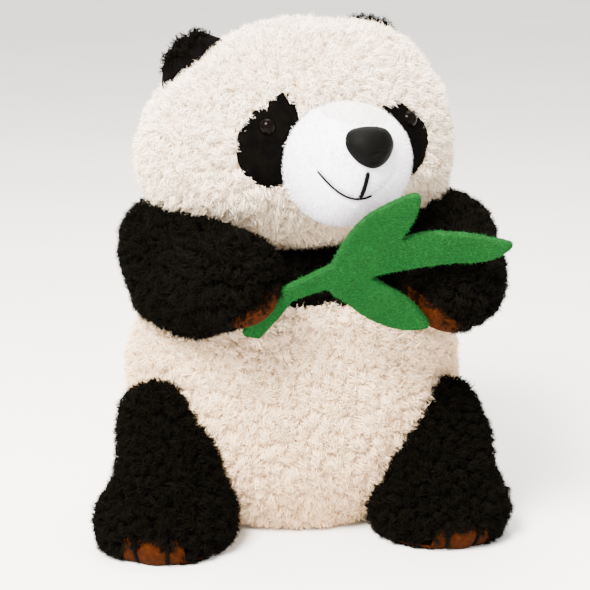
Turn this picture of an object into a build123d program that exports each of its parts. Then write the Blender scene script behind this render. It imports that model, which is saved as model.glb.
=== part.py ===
from build123d import *
import os
from math import asin, cos, degrees, sin

# Seated plush panda. Millimetres, +Z up, front towards -Y; origin on the floor under the neck axis.
# The suffix _r is the panda's own right side (x < 0), _l its left side (x > 0).

GAP = 0.15  # between pieces sewn together in one body
CLEAR = 0.5  # between pieces of bodies that move past each other
CLOTH = 2.0  # sherpa panel with its backing
VELBOA = 1.5  # short-pile cloth of the muzzle

# torso: egg form cut off flat at the seat and at the neck
TORSO = (79, 63, 88, 80)  # half width, half depth, rise, drop
TORSO_Z = 62
NECK_TOP = 132
YOKE_Z = 117  # lower edge of the black band over the chest
PELLETS_AT = (0, 5, 14)
PELLETS = (46, 34, 14, 10.5)
BAG_T = 1.0

# neck ball that the head turns and nods on
NECK = (0, 0, 150)
NECK_R = 24

# head, built facing -Y and then turned towards the panda's left
HEAD_TURN = 14
HEAD_Z = 188
HEAD = (76, 64, 56, 52)  # half width, half depth, rise, drop
EAR_PLANE = 8  # seam between front and back head panels, y
MUZZLE_AT = (0, -63, 185.5)
MUZZLE = (30, 31, 28, 28.5)
NOSE_Z = 195
NOSE_W, NOSE_H, NOSE_T = 23, 19, 4.0
NOSE_SHANK = 2.4
NOSE_WASHER = 8
THREAD = 0.9
BAR = [(-2.6, 183), (-3.2, 180.5), (-3.9, 178), (-4.5, 175.5)]  # mouth bar, x and z down from the nose
SMILE_X, SMILE_LOW, SMILE_CURVE = -5, 171.6, 0.042  # lowest point, and rise per x squared
SMILE = (-17, -12.5, -8, -3.5, 0, 3.5, 8, 12.5, 16)  # points across it
EYE = (35, 201)  # x, z of each eye
EYE_R = 4.2
EYE_SHANK = 1.4
EYE_PROUD = 0.6  # the bead's centre before the cloth
EYE_WASHER = 6
WASHER = (-5, -3.6)  # back and front of each washer, behind the cloth
SHANK_BACK, HOLE_BACK = -9, -10  # ends of a shank and of its hole, behind the cloth
HOLE = 0.1  # play of a shank in its hole
POCKET = 0.2  # room for shank and washer in the filling
PATCH = {  # x away from the middle, z
    "r": [(26, 214), (33, 210.5), (40, 206), (45.6, 198.5), (47.2, 190.5), (45, 182), (38, 175.5),
          (29, 175.5), (23, 187), (20.5, 205)],
    "l": [(27, 209), (34, 206.5), (41, 202), (45.8, 196), (47.2, 189), (44.5, 181), (38, 175.5),
          (29, 175.5), (23, 187), (20.5, 204)],
}
EAR_AT = (40, 21, 219)  # centre of the flap's round
EAR_R = 21
EAR_T = 3.0  # each of the two layers
EAR_OFF = 1.5  # between an ear's foot and the head

# arms: shoulder centre, paw centre, shoulder radius, paw radius
ARMS = {
    "r": ((-61, -2, 122), (-38, -74, 133.5), 25.5, 20.0),
    "l": ((70, -4, 129), (67, -68, 128), 25.5, 21.5),
}
PAD_FACE = {"r": (0.62, -0.1, -0.78), "l": (-0.62, -0.1, -0.78)}
PAD_R = 15.5
ARM_SPREAD = {"r": (0, -12, -24), "l": (0, 12, 24)}  # positions the torso makes room for
ROOM_STEP = 0.08  # a little more room at each further position

# legs: foot centre x, leg top centre x
LEGS = {"r": (-67, -71), "l": (62, 72)}
FOOT_Y, FOOT_Z = -52, 14
FOOT = (30.5, 30.5, 20, 26)  # egg form, round from above, cut off flat at the floor
TOE_TURN = {"r": -20, "l": 13}  # the toes point outwards
TOE_GAP = 7  # each toe thread from the middle of the toes
TOE_RUN = (-0.42, -0.3, -0.15, 0.0)  # points up a toe thread, as shares of the foot's drop
SHIN = (-50, 24, 24)  # y, z, radius low in the leg
LEG_TOP = (-40, 60, 14)  # y, z, radius at the hip
LEG_KICK = (0, 12, 24)
SOLE_T = 2.0
SOLE_EDGE = 9.5  # height that the sole turns up to over the toes
SOLE_SLOPE = 0.17  # fall of its edge towards the heel

# bamboo sprig on its own leaning plane, outline in (across, up)
SPRIG = Plane(origin=(4.7, -86.7, 137.2), x_dir=(0.999, -0.043, -0.018), z_dir=(-0.046, -0.919, -0.391))
SPRIG_T = 4.0
STEM = [(1.4, 6), (-22.3, -8), (-24.3, -14), (-29, -22), (-37, -27), (-39, -33), (-31, -35.5),
        (-22.5, -24), (-17, -14), (-1, -7)]
LEAVES = [
    [(0, 4), (5, 18.5), (11, 28), (19, 35.5), (28, 41), (36, 43.5), (36.5, 37), (34, 28), (28, 17),
     (16, 4), (2, -4)],
    [(2, -3), (18, 13), (28, 18), (36, 21.5), (47, 23.3), (61, 23.3), (72.5, 21.5), (80, 19.5),
     (78, 16), (73.6, 12.4), (65, 9), (49, 6.8), (31, 2.6), (16, -2), (6, -6)],
    [(2, 2), (16, -0.6), (27.5, -7.3), (37.4, -14.7), (43, -21), (47, -28), (41, -30), (32, -30),
     (22, -26), (12, -19), (5, -13), (-1, -7)],
]


def egg(half_width, half_depth, rise, drop, grow=0.0):
    """Rounded form, higher above its centre than below or the other way round."""
    wide = half_width + grow
    with BuildPart() as form:
        with BuildSketch(Plane.XZ):
            with BuildLine():
                EllipticalCenterArc((0, 0), wide, rise + grow, start_angle=0, arc_size=90)
                EllipticalCenterArc((0, 0), wide, drop + grow, start_angle=270, arc_size=90)
                Line((0, -(drop + grow)), (0, rise + grow))
            make_face()
        revolve(axis=Axis.Z)
        if half_depth != half_width:
            scale(by=(1, (half_depth + grow) / wide, 1))
    return form.part


def roll(start, end, r_start, r_end, grow=0.0):
    """Round-ended tapering roll from one centre to another."""
    along = Vector(*end) - Vector(*start)
    a = asin((r_start - r_end) / along.length)
    r1, r2, span = r_start + grow, r_end + grow, along.length
    with BuildPart() as form:
        with BuildSketch(Plane.XZ):
            with BuildLine():
                CenterArc((0, 0), r1, start_angle=-90, arc_size=90 + degrees(a))
                Line((r1 * cos(a), r1 * sin(a)), (r2 * cos(a), span + r2 * sin(a)))
                CenterArc((0, span), r2, start_angle=degrees(a), arc_size=90 - degrees(a))
                Line((0, span + r2), (0, -r1))
            make_face()
        revolve(axis=Axis.Z)
    return form.part.moved(Plane(origin=start, z_dir=along).location)


def at(shape, place):
    return shape.moved(Location(place))


def torso_form(inset=0.0):
    return common(at(egg(*TORSO, -inset), (0, 0, TORSO_Z)), slab(inset, NECK_TOP - inset))


def leg_form(side, grow=0.0):
    foot_x, top_x = LEGS[side]
    foot = at(egg(*FOOT, grow).rotate(Axis.Z, 90), (foot_x, FOOT_Y, FOOT_Z))
    shin = roll((foot_x, *SHIN[:2]), (top_x, *LEG_TOP[:2]), SHIN[2], LEG_TOP[2], grow)
    return less(both(foot, shin), slab(-50, -grow))


def arm_form(side, grow=0.0):
    return roll(*ARMS[side], grow)


def head_form(grow=0.0):
    return at(egg(*HEAD, grow), (0, 0, HEAD_Z))


def muzzle_form(grow=0.0):
    return at(egg(*MUZZLE, grow), MUZZLE_AT)


def both(one, other):
    with BuildPart() as whole:
        add(one)
        add(other)
    return whole.part


def less(shape, *cuts):
    """Shape with each cut taken out of it."""
    with BuildPart() as left:
        add(shape)
        for cut in cuts:
            add(cut, mode=Mode.SUBTRACT)
    return left.part


def common(shape, *others):
    with BuildPart() as kept:
        add(shape)
        for other in others:
            add(other, mode=Mode.INTERSECT)
    return kept.part


def slab(z_low, z_high, y_low=-200, y_high=200):
    return at(Box(400, y_high - y_low, z_high - z_low), (0, (y_low + y_high) / 2, (z_low + z_high) / 2))


def limb_room():
    """Everything the arms and legs pass through where they meet the torso."""
    rooms = []
    for side, angles in ARM_SPREAD.items():
        pivot = Axis(ARMS[side][0], (0, 0, 1))
        hip = Axis((LEGS[side][1], *LEG_TOP[:2]), (-1, 0, 0))
        for step, (spread, kick) in enumerate(zip(angles, LEG_KICK)):
            ease = CLEAR + ROOM_STEP * step
            rooms.append(arm_form(side, ease).rotate(pivot, spread))
            rooms.append(leg_form(side, ease).rotate(hip, kick))
    return rooms


def on_head(x, z):
    """Point of the head's surface in front of (x, z), and the outward normal there."""
    wide, deep, rise, drop = HEAD
    high = rise if z > HEAD_Z else drop
    y = -deep * (1 - (x / wide) ** 2 - ((z - HEAD_Z) / high) ** 2) ** 0.5
    return Vector(x, y, z), Vector(x / wide**2, y / deep**2, (z - HEAD_Z) / high**2).normalized()


def on_muzzle(x, z, lift=0.0):
    wide, deep, rise, drop = (size + lift for size in MUZZLE)
    up = z - MUZZLE_AT[2]
    y = MUZZLE_AT[1] - deep * (1 - (x / wide) ** 2 - (up / (rise if up > 0 else drop)) ** 2) ** 0.5
    return (x, y, z)


def patch_prism(side, inset=0.0):
    """Drooping eye-patch outline, run straight back through the front of the head."""
    flip = -1 if side == "r" else 1
    corners = [Vector(x, z) for x, z in PATCH[side]]
    mid = sum(corners, Vector()) * (1 / len(corners))
    outline = [corner + (mid - corner).normalized() * inset for corner in corners]
    with BuildPart() as prism:
        with BuildSketch(Plane.XZ):
            with BuildLine():
                Spline(*[(flip * point.X, point.Y) for point in outline], periodic=True)
            make_face()
        extrude(amount=110)
    return prism.part


def thread(points):
    """Sewn thread along a smooth line of points."""
    with BuildPart() as line:
        with BuildLine() as path:
            Spline(*points)
        with BuildSketch(Plane(origin=path.line @ 0, z_dir=path.line % 0)):
            Circle(THREAD)
        sweep()
    return line.part


def peg(place, way, radius, start, end):
    """Round bar along a direction, from one distance to another."""
    base = Plane(origin=Vector(*place) + way * start, z_dir=way)
    bar = Cylinder(radius, end - start, align=(Align.CENTER, Align.CENTER, Align.MIN))
    return bar.moved(base.location)


def pocket(place, way, washer_r, shank_r):
    """Room in the filling behind the cloth for a washer and its shank."""
    return [peg(place, way, washer_r + POCKET, WASHER[0] - POCKET, 1),
            peg(place, way, shank_r + POCKET, HOLE_BACK, 0)]


def keep(name, shape, turn=0.0):
    """Write one piece under its own name."""
    turned = shape.rotate(Axis.Z, turn) if turn else shape
    with BuildPart() as piece:
        add(turned)
    piece.part.label = name
    export_step(piece.part, f"parts/{name}.step")


os.makedirs("parts", exist_ok=True)

# ---- torso: sherpa shell in four panels, a base, filling and a pellet bag
room = limb_room()
neck_dish = at(Sphere(NECK_R + CLEAR), NECK)
shell = less(torso_form(), torso_form(CLOTH), neck_dish, *room)
cloth = less(shell, slab(-1, CLOTH + 0.01))
front, back = slab(-1, 200, -200, -GAP / 2), slab(-1, 200, GAP / 2, 200)
belly, yoke = slab(-1, YOKE_Z - GAP / 2), slab(YOKE_Z + GAP / 2, 200)
keep("body_front_panel", common(cloth, front, belly))
keep("body_back_panel", common(cloth, back, belly))
keep("yoke_front", common(cloth, front, yoke))
keep("yoke_back", common(cloth, back, yoke))
keep("base_panel", less(common(torso_form(), slab(0, CLOTH - GAP)), *room))
bag = at(egg(*PELLETS), PELLETS_AT)
beans = at(egg(*PELLETS, -BAG_T), PELLETS_AT)
keep("pellet_bag", less(bag, beans))
keep("pellets", at(egg(*PELLETS, -BAG_T - GAP), PELLETS_AT))
bag_room = at(egg(*PELLETS, GAP), PELLETS_AT)
keep("body_stuffing", less(torso_form(CLOTH + GAP), neck_dish, *room, bag_room))

# ---- neck ball
keep("neck_stuffing", at(Sphere(NECK_R), NECK))

# ---- head: two sherpa panels with velboa eye patches let into the front one
skull = less(head_form(), head_form(-CLOTH), neck_dish)
prisms = {side: patch_prism(side, 2 * GAP) for side in "rl"}
eye_ways = {}
for side, flip in (("r", -1), ("l", 1)):
    eye_ways[side] = on_head(flip * EYE[0], EYE[1])
front_head = common(skull, slab(0, 400, -200, EAR_PLANE - GAP / 2))
keep("head_front_panel", less(front_head, *[patch_prism(side) for side in "rl"]), HEAD_TURN)
keep("head_back_panel", common(skull, slab(0, 400, EAR_PLANE + GAP / 2, 200)), HEAD_TURN)

pockets = []
for side, (spot, way) in eye_ways.items():
    bead = common(at(Sphere(EYE_R), spot + way * EYE_PROUD), peg(spot, way, 2 * EYE_R, 0.1, 2 * EYE_R))
    shank = peg(spot, way, EYE_SHANK, SHANK_BACK, EYE_PROUD)
    hole = peg(spot, way, EYE_SHANK + HOLE, HOLE_BACK, 3)
    keep(f"eye_{side}", both(bead, shank), HEAD_TURN)
    keep(f"eye_patch_{side}", less(common(skull, prisms[side]), hole), HEAD_TURN)
    keep(f"eye_washer_{side}", less(peg(spot, way, EYE_WASHER, *WASHER), hole), HEAD_TURN)
    pockets += pocket(spot, way, EYE_WASHER, EYE_SHANK)

# ---- muzzle, nose and sewn mouth
nose_spot = Vector(*on_muzzle(0, NOSE_Z))
nose_way = Vector(0, nose_spot.Y - MUZZLE_AT[1], nose_spot.Z - MUZZLE_AT[2]).normalized()
with BuildPart() as nose_outline:
    with BuildSketch(Plane(origin=nose_spot - nose_way * 6, x_dir=(1, 0, 0), z_dir=nose_way)):
        with BuildLine():
            half, tall = NOSE_W / 2, NOSE_H / 2
            right = [(half * 0.55, -tall * 0.62), (half, tall * 0.25), (half * 0.82, tall * 0.82)]
            left = [(-x, z) for x, z in reversed(right)]
            Spline((0, -tall), *right, (0, tall), *left, periodic=True)
        make_face()
    extrude(amount=14)
nose_pad = common(nose_outline.part, less(muzzle_form(NOSE_T), muzzle_form(0.1)))
keep("nose", both(nose_pad, peg(nose_spot, nose_way, NOSE_SHANK, SHANK_BACK, 1)), HEAD_TURN)
nose_hole = peg(nose_spot, nose_way, NOSE_SHANK + HOLE, HOLE_BACK, 2)
keep("nose_washer", less(peg(nose_spot, nose_way, NOSE_WASHER, *WASHER), nose_hole), HEAD_TURN)
in_front = head_form(0.2)
keep("muzzle_cover", less(muzzle_form(), muzzle_form(-VELBOA), in_front, nose_hole), HEAD_TURN)
nose_pocket = pocket(nose_spot, nose_way, NOSE_WASHER, NOSE_SHANK)
keep("muzzle_stuffing", less(muzzle_form(-VELBOA - GAP), in_front, *nose_pocket), HEAD_TURN)
lift = THREAD + 0.1
keep("mouth_bar_thread", thread([on_muzzle(x, z, lift) for x, z in BAR]), HEAD_TURN)
smile = [(SMILE_X + x, SMILE_LOW + SMILE_CURVE * x**2) for x in SMILE]
keep("smile_thread", thread([on_muzzle(x, z, lift) for x, z in smile]), HEAD_TURN)
keep("head_stuffing", less(head_form(-CLOTH - GAP), neck_dish, *pockets), HEAD_TURN)

# ---- ears: two-layer half-moon flaps standing on the head
over_head = head_form(EAR_OFF)
for side, flip in (("r", -1), ("l", 1)):
    x, y, z = flip * EAR_AT[0], EAR_AT[1], EAR_AT[2]
    for layer, low, high in (("front", y - EAR_T, y - GAP / 2), ("back", y + GAP / 2, y + EAR_T)):
        flap = Cylinder(EAR_R, high - low, rotation=(90, 0, 0))
        keep(f"ear_{layer}_{side}", less(at(flap, (x, (low + high) / 2, z)), over_head), HEAD_TURN)

# ---- arms: roll-shaped sherpa cover, filling and a suede palm pad
for side in "rl":
    paw = ARMS[side][1]
    way = Vector(*PAD_FACE[side]).normalized()
    sleeve = less(arm_form(side), arm_form(side, -CLOTH))
    keep(f"palm_pad_{side}", common(sleeve, peg(paw, way, PAD_R, 0, 40)))
    keep(f"arm_cover_{side}", less(sleeve, peg(paw, way, PAD_R + GAP, 0, 40)))
    keep(f"arm_stuffing_{side}", arm_form(side, -CLOTH - GAP))

# ---- legs: sherpa boot, filling, suede sole turned up over the toes, two toe threads
for side in "rl":
    foot_x = LEGS[side][0]
    foot_axis = Axis((foot_x, FOOT_Y, 0), (0, 0, 1))
    boot = less(leg_form(side), leg_form(side, -SOLE_T))
    tilt = Plane(origin=(foot_x, FOOT_Y - FOOT[1], SOLE_EDGE), x_dir=(1, 0, 0), z_dir=(0, SOLE_SLOPE, 1))
    for name, part in (("sole", slab(-40, 0)), ("leg_cover", slab(GAP, 140))):
        keep(f"{name}_{side}", common(boot, part.moved(tilt.location).rotate(foot_axis, TOE_TURN[side])))
    keep(f"leg_stuffing_{side}", leg_form(side, -SOLE_T - GAP))
    off = 1 + (lift + 0.5) / FOOT[1]  # threads lie just off the foot's surface
    for place, across in (("in", -TOE_GAP), ("out", TOE_GAP)):
        x = across if side == "l" else -across
        line = []
        for up in TOE_RUN:
            out = (1 - (x / FOOT[0]) ** 2 - up**2) ** 0.5
            line.append((foot_x + x * off, FOOT_Y - FOOT[1] * out * off, FOOT_Z + FOOT[3] * up * off))
        keep(f"toe_thread_{place}_{side}", thread(line).rotate(foot_axis, TOE_TURN[side]))

# ---- felt bamboo sprig: stem and three leaves in one leaning plane
with BuildPart() as sprig:
    with BuildSketch(SPRIG):
        Polygon(*STEM, align=None)
        for leaf in LEAVES:
            with BuildLine():
                Spline(*leaf, periodic=True)
            make_face()
    extrude(amount=SPRIG_T / 2, both=True)
keep("bamboo_sprig", sprig.part)
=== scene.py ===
import math

import bmesh
import bpy
import numpy as np
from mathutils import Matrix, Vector
from mathutils.kdtree import KDTree


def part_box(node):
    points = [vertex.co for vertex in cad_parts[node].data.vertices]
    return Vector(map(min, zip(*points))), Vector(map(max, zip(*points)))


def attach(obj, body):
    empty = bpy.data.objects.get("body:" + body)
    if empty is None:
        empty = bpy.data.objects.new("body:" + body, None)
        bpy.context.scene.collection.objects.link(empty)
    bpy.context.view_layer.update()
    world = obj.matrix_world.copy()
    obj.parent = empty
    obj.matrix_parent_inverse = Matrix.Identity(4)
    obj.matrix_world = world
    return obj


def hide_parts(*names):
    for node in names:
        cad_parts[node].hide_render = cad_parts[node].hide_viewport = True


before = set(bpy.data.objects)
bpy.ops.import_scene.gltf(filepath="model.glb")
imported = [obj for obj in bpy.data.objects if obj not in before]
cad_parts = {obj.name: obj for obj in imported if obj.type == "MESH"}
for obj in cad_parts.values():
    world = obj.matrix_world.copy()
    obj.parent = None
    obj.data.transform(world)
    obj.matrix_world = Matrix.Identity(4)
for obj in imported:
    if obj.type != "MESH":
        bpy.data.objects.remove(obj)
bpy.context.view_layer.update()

# Metres, +Z up, front towards -Y. The suffix _r is the panda's own right side (x < 0).
MM = 0.001
SEED = 7
FLOOR = 0.2  # lowest point of any skin

# ---- forms, the same driving sizes as the CAD; the fullness spots are (place, reach, push)
TORSO_AT, TORSO = (0, 0, 62), (79, 63, 88, 80)  # half width, half depth, rise, drop
TORSO_TOP = 132
TORSO_FULL = [((-80, -6, 82), 24, 5.5), ((-40, -56, 84), 22, 1.5), ((30, -62, 50), 30, 1.5),
              ((78, -8, 90), 22, 3.5)]
YOKE_Z = 117
YOKE_HANG = 3.5  # how far the black pile hangs over the yoke's seam
HEAD_AT, HEAD = (0, 0, 188), (76, 64, 56, 52)
HEAD_TURN = math.radians(14)
HEAD_SEAM = 8  # y of the seam between the front and back panels
CHEEKS = [((-62, -14, 148), 20, 6.0), ((-73, -8, 161), 16, 4.0), ((62, -8, 154), 26, 8.5)]
CROWN = [((50, -12, 230), 26, 5.0), ((-48, -4, 230), 27, -9.0), ((-74, -6, 194), 22, -0.5),
         ((-70, -4, 214), 15, -3.0), ((0, -5, 244), 36, -1.0)]
MUZZLE_AT, MUZZLE = (0, -63, 185.5), (30, 31, 28, 28.5)
NOSE_Z, NOSE_HALF, NOSE_TALL = 194.5, 11.3, 8.8
BAR = [(-2.6, NOSE_Z - NOSE_TALL - 1.2), (-3.2, 181), (-4, 176)]  # mouth bar, down to the smile
SMILE_X, SMILE_LOW, SMILE_CURVE = -5, 171.6, 0.042  # lowest point, and rise per x squared
SMILE_FROM, SMILE_TO = -17.5, 6  # the right part sinks into the nap
CREASE_HALF, CREASE_DEEP = 22, 1.3  # dent that the smile pulls into the muzzle
EAR_AT, EAR = (40, 21, 219), (21, 5, 19.5, 21)
EAR_SIT = {"r": (0, 0, 0), "l": (7, 0, 4.5)}  # the left ear is sewn on a little higher and further out
PATCH = {  # x away from the middle, z
    "r": [(26, 214), (33, 210.5), (40, 206), (45.6, 198.5), (47.2, 190.5), (45, 182), (38, 175.5),
          (29, 175.5), (23, 187), (20.5, 205)],
    "l": [(27, 209), (34, 206.5), (41, 202), (45.8, 196), (47.2, 189), (44.5, 181), (38, 175.5),
          (29, 175.5), (23, 187), (20.5, 204)],
}
ARMS = {
    "r": ((-61, -2, 122), (-38, -74, 133.5), 25.5, 20.0),
    "l": ((70, -4, 129), (67, -68, 128), 25.5, 21.5),
}
ARM_FULL = {
    "r": [((-58, -16, 150), 24, 10.5), ((-74, -10, 146), 16, 5.5), ((-50, -34, 102), 20, 6.0),
          ((-89, 0, 116), 17, -8.0)],
    "l": [((80, -20, 152), 22, 6.5), ((90, -40, 120), 18, -2.0)],
}
LEG_FULL = {
    "r": [((-97, -62, 10), 20, 5.0), ((-74, -86, 4), 18, 4.5), ((-50, -64, 46), 20, 3.5),
          ((-88, -42, 62), 16, 3.5)],
    "l": [((94, -60, 14), 24, 4.0), ((92, -50, 42), 20, 3.0), ((74, -86, 4), 18, 3.0),
          ((56, -56, 68), 18, -7.0), ((90, -40, 65), 16, -4.5)],
}
PAD_FACE = {"r": (0.62, -0.1, -0.78), "l": (-0.62, -0.1, -0.78)}
PAD_R = 15.5
PAD_HID = 3.6  # width of the pad's rim that the pile hangs over
LEGS = {"r": (-67, -71), "l": (62, 72)}
FOOT_Y, FOOT_Z, FOOT = -52, 14, (30.5, 30.5, 20, 26)
TOE_TURN = {"r": -20, "l": 13}
TOE_GAP = 7  # each toe thread from the middle of the toes
TOE_LOW, TOE_HIGH, TOE_DIP = 0.6, 9.0, 2.4  # edge of the sole: beside the toes, over them, less at each thread
TOE_SPAN, TOE_FADE = 0.47, 0.1  # half the toes' width as an angle, and how fast the edge drops there
SOLE_FLAT = 0.62  # share of the sole's radius that lies under the foot
SHIN = (-50, 24, 24)
LEG_TOP = (-40, 60, 14)

SPRIG_AT, SPRIG_FACE = (4.7, -86.7, 137.2), (-0.046, -0.919, -0.391)

# ---- sherpa pile
LUMP = 5.6  # spacing of the curls
LUMP_HIGH = 1.5
PILE_LONG = 4.8
PILE_THICK = 0.2
PILE_PER_MM2 = 2.6
FACES_PER_FIBRE = 5
FACES_PER_PIECE = 190000
CLOTH_FRAMES = 20
# painted shade on the cream pile by height in metres: darker and warmer towards the seat, lighter higher up, as
# light falls from above
CREAM_HEIGHT_SHADE = [(0.0, (0.92, 0.74, 0.53, 1)), (0.09, (1.0, 0.87, 0.7, 1)), (0.14, (1.0, 0.91, 0.78, 1)),
             (0.2, (1.0, 0.98, 0.93, 1))]
rng = np.random.default_rng(SEED)


# ---------------------------------------------------------------- materials
def srgb(*rgb):
    """Display colour 0-255 as linear values."""
    return tuple(((c / 255 + 0.055) / 1.055) ** 2.4 if c > 10 else c / 255 / 12.92 for c in rgb) + (1.0,)


class Nodes:
    """Small helper that makes and links shader nodes."""

    def __init__(self, name):
        self.material = bpy.data.materials.new(name)
        self.material.use_nodes = True
        self.tree = self.material.node_tree
        self.shader = self.tree.nodes["Principled BSDF"]

    def add(self, kind, **values):
        node = self.tree.nodes.new(kind)
        for key, value in values.items():
            if key in node.inputs:
                node.inputs[key].default_value = value
            else:
                setattr(node, key, value)
        return node

    def link(self, out, into):
        self.tree.links.new(out, into)

    def noise(self, scale, detail=4.0, rough=0.6, vector=None):
        node = self.add("ShaderNodeTexNoise", Scale=scale, Detail=detail, Roughness=rough)
        self.link(vector or self.place(), node.inputs["Vector"])
        return node.outputs["Fac"]

    def place(self):
        if not hasattr(self, "coordinates"):
            self.coordinates = self.add("ShaderNodeTexCoord")
        return self.coordinates.outputs["Object"]

    def ramp(self, value, stops):
        node = self.add("ShaderNodeValToRGB")
        elements = node.color_ramp.elements
        while len(elements) < len(stops):
            elements.new(0.5)
        for element, (at, colour) in zip(elements, stops):
            element.position = at
            element.color = colour
        self.link(value, node.inputs["Fac"])
        return node.outputs["Color"]

    def times(self, one, other):
        """Two colours multiplied."""
        mix = self.add("ShaderNodeMix", data_type="RGBA", blend_type="MULTIPLY")
        factor, first, second = (mix.inputs[i] for i in (0, 6, 7))  # sockets of the colour kind
        factor.default_value = 1.0
        self.link(one, first)
        self.link(other, second)
        return mix.outputs[2]

    def bump(self, height, strength, distance):
        node = self.add("ShaderNodeBump", Strength=strength, Distance=distance)
        self.link(height, node.inputs["Height"])
        self.link(node.outputs["Normal"], self.shader.inputs["Normal"])

    def finish(self, rough, **extra):
        self.shader.inputs["Roughness"].default_value = rough
        for key, value in extra.items():
            self.shader.inputs[key.replace("_", " ")].default_value = value
        return self.material


def pile_material(name, root, tip, rough, sheen, gloss=0.1, low=None):
    """Fibres with painted shade: darker and warmer at the root, where the pile shades itself; each a slightly
    different tone. low: painted shade by height.
    """
    n = Nodes(name)
    along = n.add("ShaderNodeAttribute", attribute_name="along")
    tone = n.add("ShaderNodeAttribute", attribute_name="tone")
    middle = tuple(a * 0.35 + b * 0.65 for a, b in zip(root, tip))
    # painted shade along each fibre: darker at the root, lighter at the tip
    shade = n.ramp(along.outputs["Fac"], [(0.0, root), (0.45, middle), (1.0, tip)])
    tones = [(0.0, (0.8, 0.77, 0.73, 1)), (0.5, (0.95, 0.94, 0.92, 1)), (1.0, (1, 1, 1, 1))]
    colour = n.times(shade, n.ramp(tone.outputs["Fac"], tones))
    # painted shade by height: the colour multiplied by a ramp on the object's height
    if low:
        split = n.add("ShaderNodeSeparateXYZ")
        n.link(n.place(), split.inputs[0])
        colour = n.times(colour, n.ramp(split.outputs["Z"], low))
    n.link(colour, n.shader.inputs["Base Color"])
    return n.finish(rough, Sheen_Weight=sheen, Sheen_Roughness=0.5, Specular_IOR_Level=gloss)


def backing_material(name, dark, light):
    """Matted fibre seen between the curls, coloured darker than the fibres as painted shade deep between the
    curls.
    """
    n = Nodes(name)
    n.link(n.ramp(n.noise(420), [(0.3, dark), (0.7, light)]), n.shader.inputs["Base Color"])
    n.bump(n.noise(1500, 6.0, 0.7), 0.9, 0.0012)
    return n.finish(0.95, Specular_IOR_Level=0.05)


def velboa_material(name, dark, light, sheen, gloss=0.06):
    """Short brushed pile: fine grain with soft lighter and darker strokes."""
    n = Nodes(name)
    n.link(n.ramp(n.noise(160, 3.0), [(0.35, dark), (0.65, light)]), n.shader.inputs["Base Color"])
    n.bump(n.noise(2600, 4.0, 0.75), 0.35, 0.0006)
    return n.finish(0.95, Sheen_Weight=sheen, Sheen_Roughness=0.35, Specular_IOR_Level=gloss)


def suede_material():
    n = Nodes("brown_suede")
    tones = [(0.3, srgb(28, 9, 0)), (0.55, srgb(46, 17, 1)), (0.75, srgb(64, 27, 3))]
    n.link(n.ramp(n.noise(520, 5.0, 0.7), tones), n.shader.inputs["Base Color"])
    n.bump(n.noise(2400, 5.0, 0.7), 0.5, 0.0005)
    return n.finish(0.92, Specular_IOR_Level=0.04)


def felt_material():
    n = Nodes("green_felt")
    stretch = n.add("ShaderNodeMapping")
    stretch.inputs["Scale"].default_value = (1.0, 0.6, 2.4)
    n.link(n.place(), stretch.inputs["Vector"])
    tones = [(0.36, srgb(2, 28, 6)), (0.52, srgb(4, 57, 15)), (0.7, srgb(16, 85, 31))]
    n.link(n.ramp(n.noise(900, 6.0, 0.75, stretch.outputs["Vector"]), tones), n.shader.inputs["Base Color"])
    n.bump(n.noise(1700, 6.0, 0.8), 0.7, 0.0007)
    return n.finish(0.95, Specular_IOR_Level=0.12)


def thread_material():
    n = Nodes("black_thread")
    n.link(n.ramp(n.noise(1500), [(0.3, srgb(1, 1, 1)), (0.7, srgb(6, 5, 5))]), n.shader.inputs["Base Color"])
    n.bump(n.noise(4000), 0.4, 0.0003)
    return n.finish(0.8, Specular_IOR_Level=0.04)


def eye_material():
    """Glossy black with a faint brown depth."""
    n = Nodes("eye_gloss")
    tones = [(0.35, srgb(2, 2, 2)), (0.75, srgb(9, 5, 3))]
    n.link(n.ramp(n.noise(260, 2.0), tones), n.shader.inputs["Base Color"])
    return n.finish(0.04, Specular_IOR_Level=0.025)


def flock_material():
    n = Nodes("nose_flock")
    tones = [(0.3, srgb(1, 1, 1)), (0.7, srgb(4, 4, 3))]
    n.link(n.ramp(n.noise(1300, 5.0, 0.7), tones), n.shader.inputs["Base Color"])
    n.bump(n.noise(3200, 5.0, 0.7), 0.5, 0.0004)
    return n.finish(0.5, Specular_IOR_Level=0.035)


def inner_material(name, dark, light, scale):
    n = Nodes(name)
    n.link(n.ramp(n.noise(scale, 6.0, 0.7), [(0.3, dark), (0.7, light)]), n.shader.inputs["Base Color"])
    n.bump(n.noise(scale * 3), 0.8, 0.002)
    return n.finish(0.95)


MAT = {
    "cream_pile": pile_material("cream_pile", srgb(246, 228, 204), srgb(255, 247, 235), 0.9, 0.05,
                                low=CREAM_HEIGHT_SHADE),
    "black_pile": pile_material("black_pile", srgb(1, 1, 1), srgb(7, 6, 3), 0.85, 0.0, gloss=0.03),
    "cream_back": backing_material("cream_backing", srgb(232, 208, 174), srgb(244, 226, 198)),
    "black_back": backing_material("black_backing", srgb(2, 1, 1), srgb(4, 3, 3)),
    "white_velboa": velboa_material("white_velboa", srgb(240, 238, 250), srgb(248, 247, 254), 0.2),
    "white_nap": pile_material("white_nap", srgb(238, 236, 249), srgb(250, 249, 255), 0.9, 0.1),
    "black_velboa": velboa_material("black_velboa", srgb(1, 1, 1), srgb(4, 3, 2), 0.0, gloss=0.02),
    "suede": suede_material(),
    "felt": felt_material(),
    "felt_fibre": pile_material("felt_fibre", srgb(3, 46, 12), srgb(20, 88, 36), 0.95, 0.0),
    "thread": thread_material(),
    "eye": eye_material(),
    "flock": flock_material(),
    "filling": inner_material("stuffing", srgb(215, 215, 212), srgb(246, 246, 244), 300),
    "pellets": inner_material("pellets", srgb(196, 196, 190), srgb(238, 238, 232), 900),
    "washer": inner_material("washer", srgb(205, 205, 200), srgb(225, 225, 220), 500),
}


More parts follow.
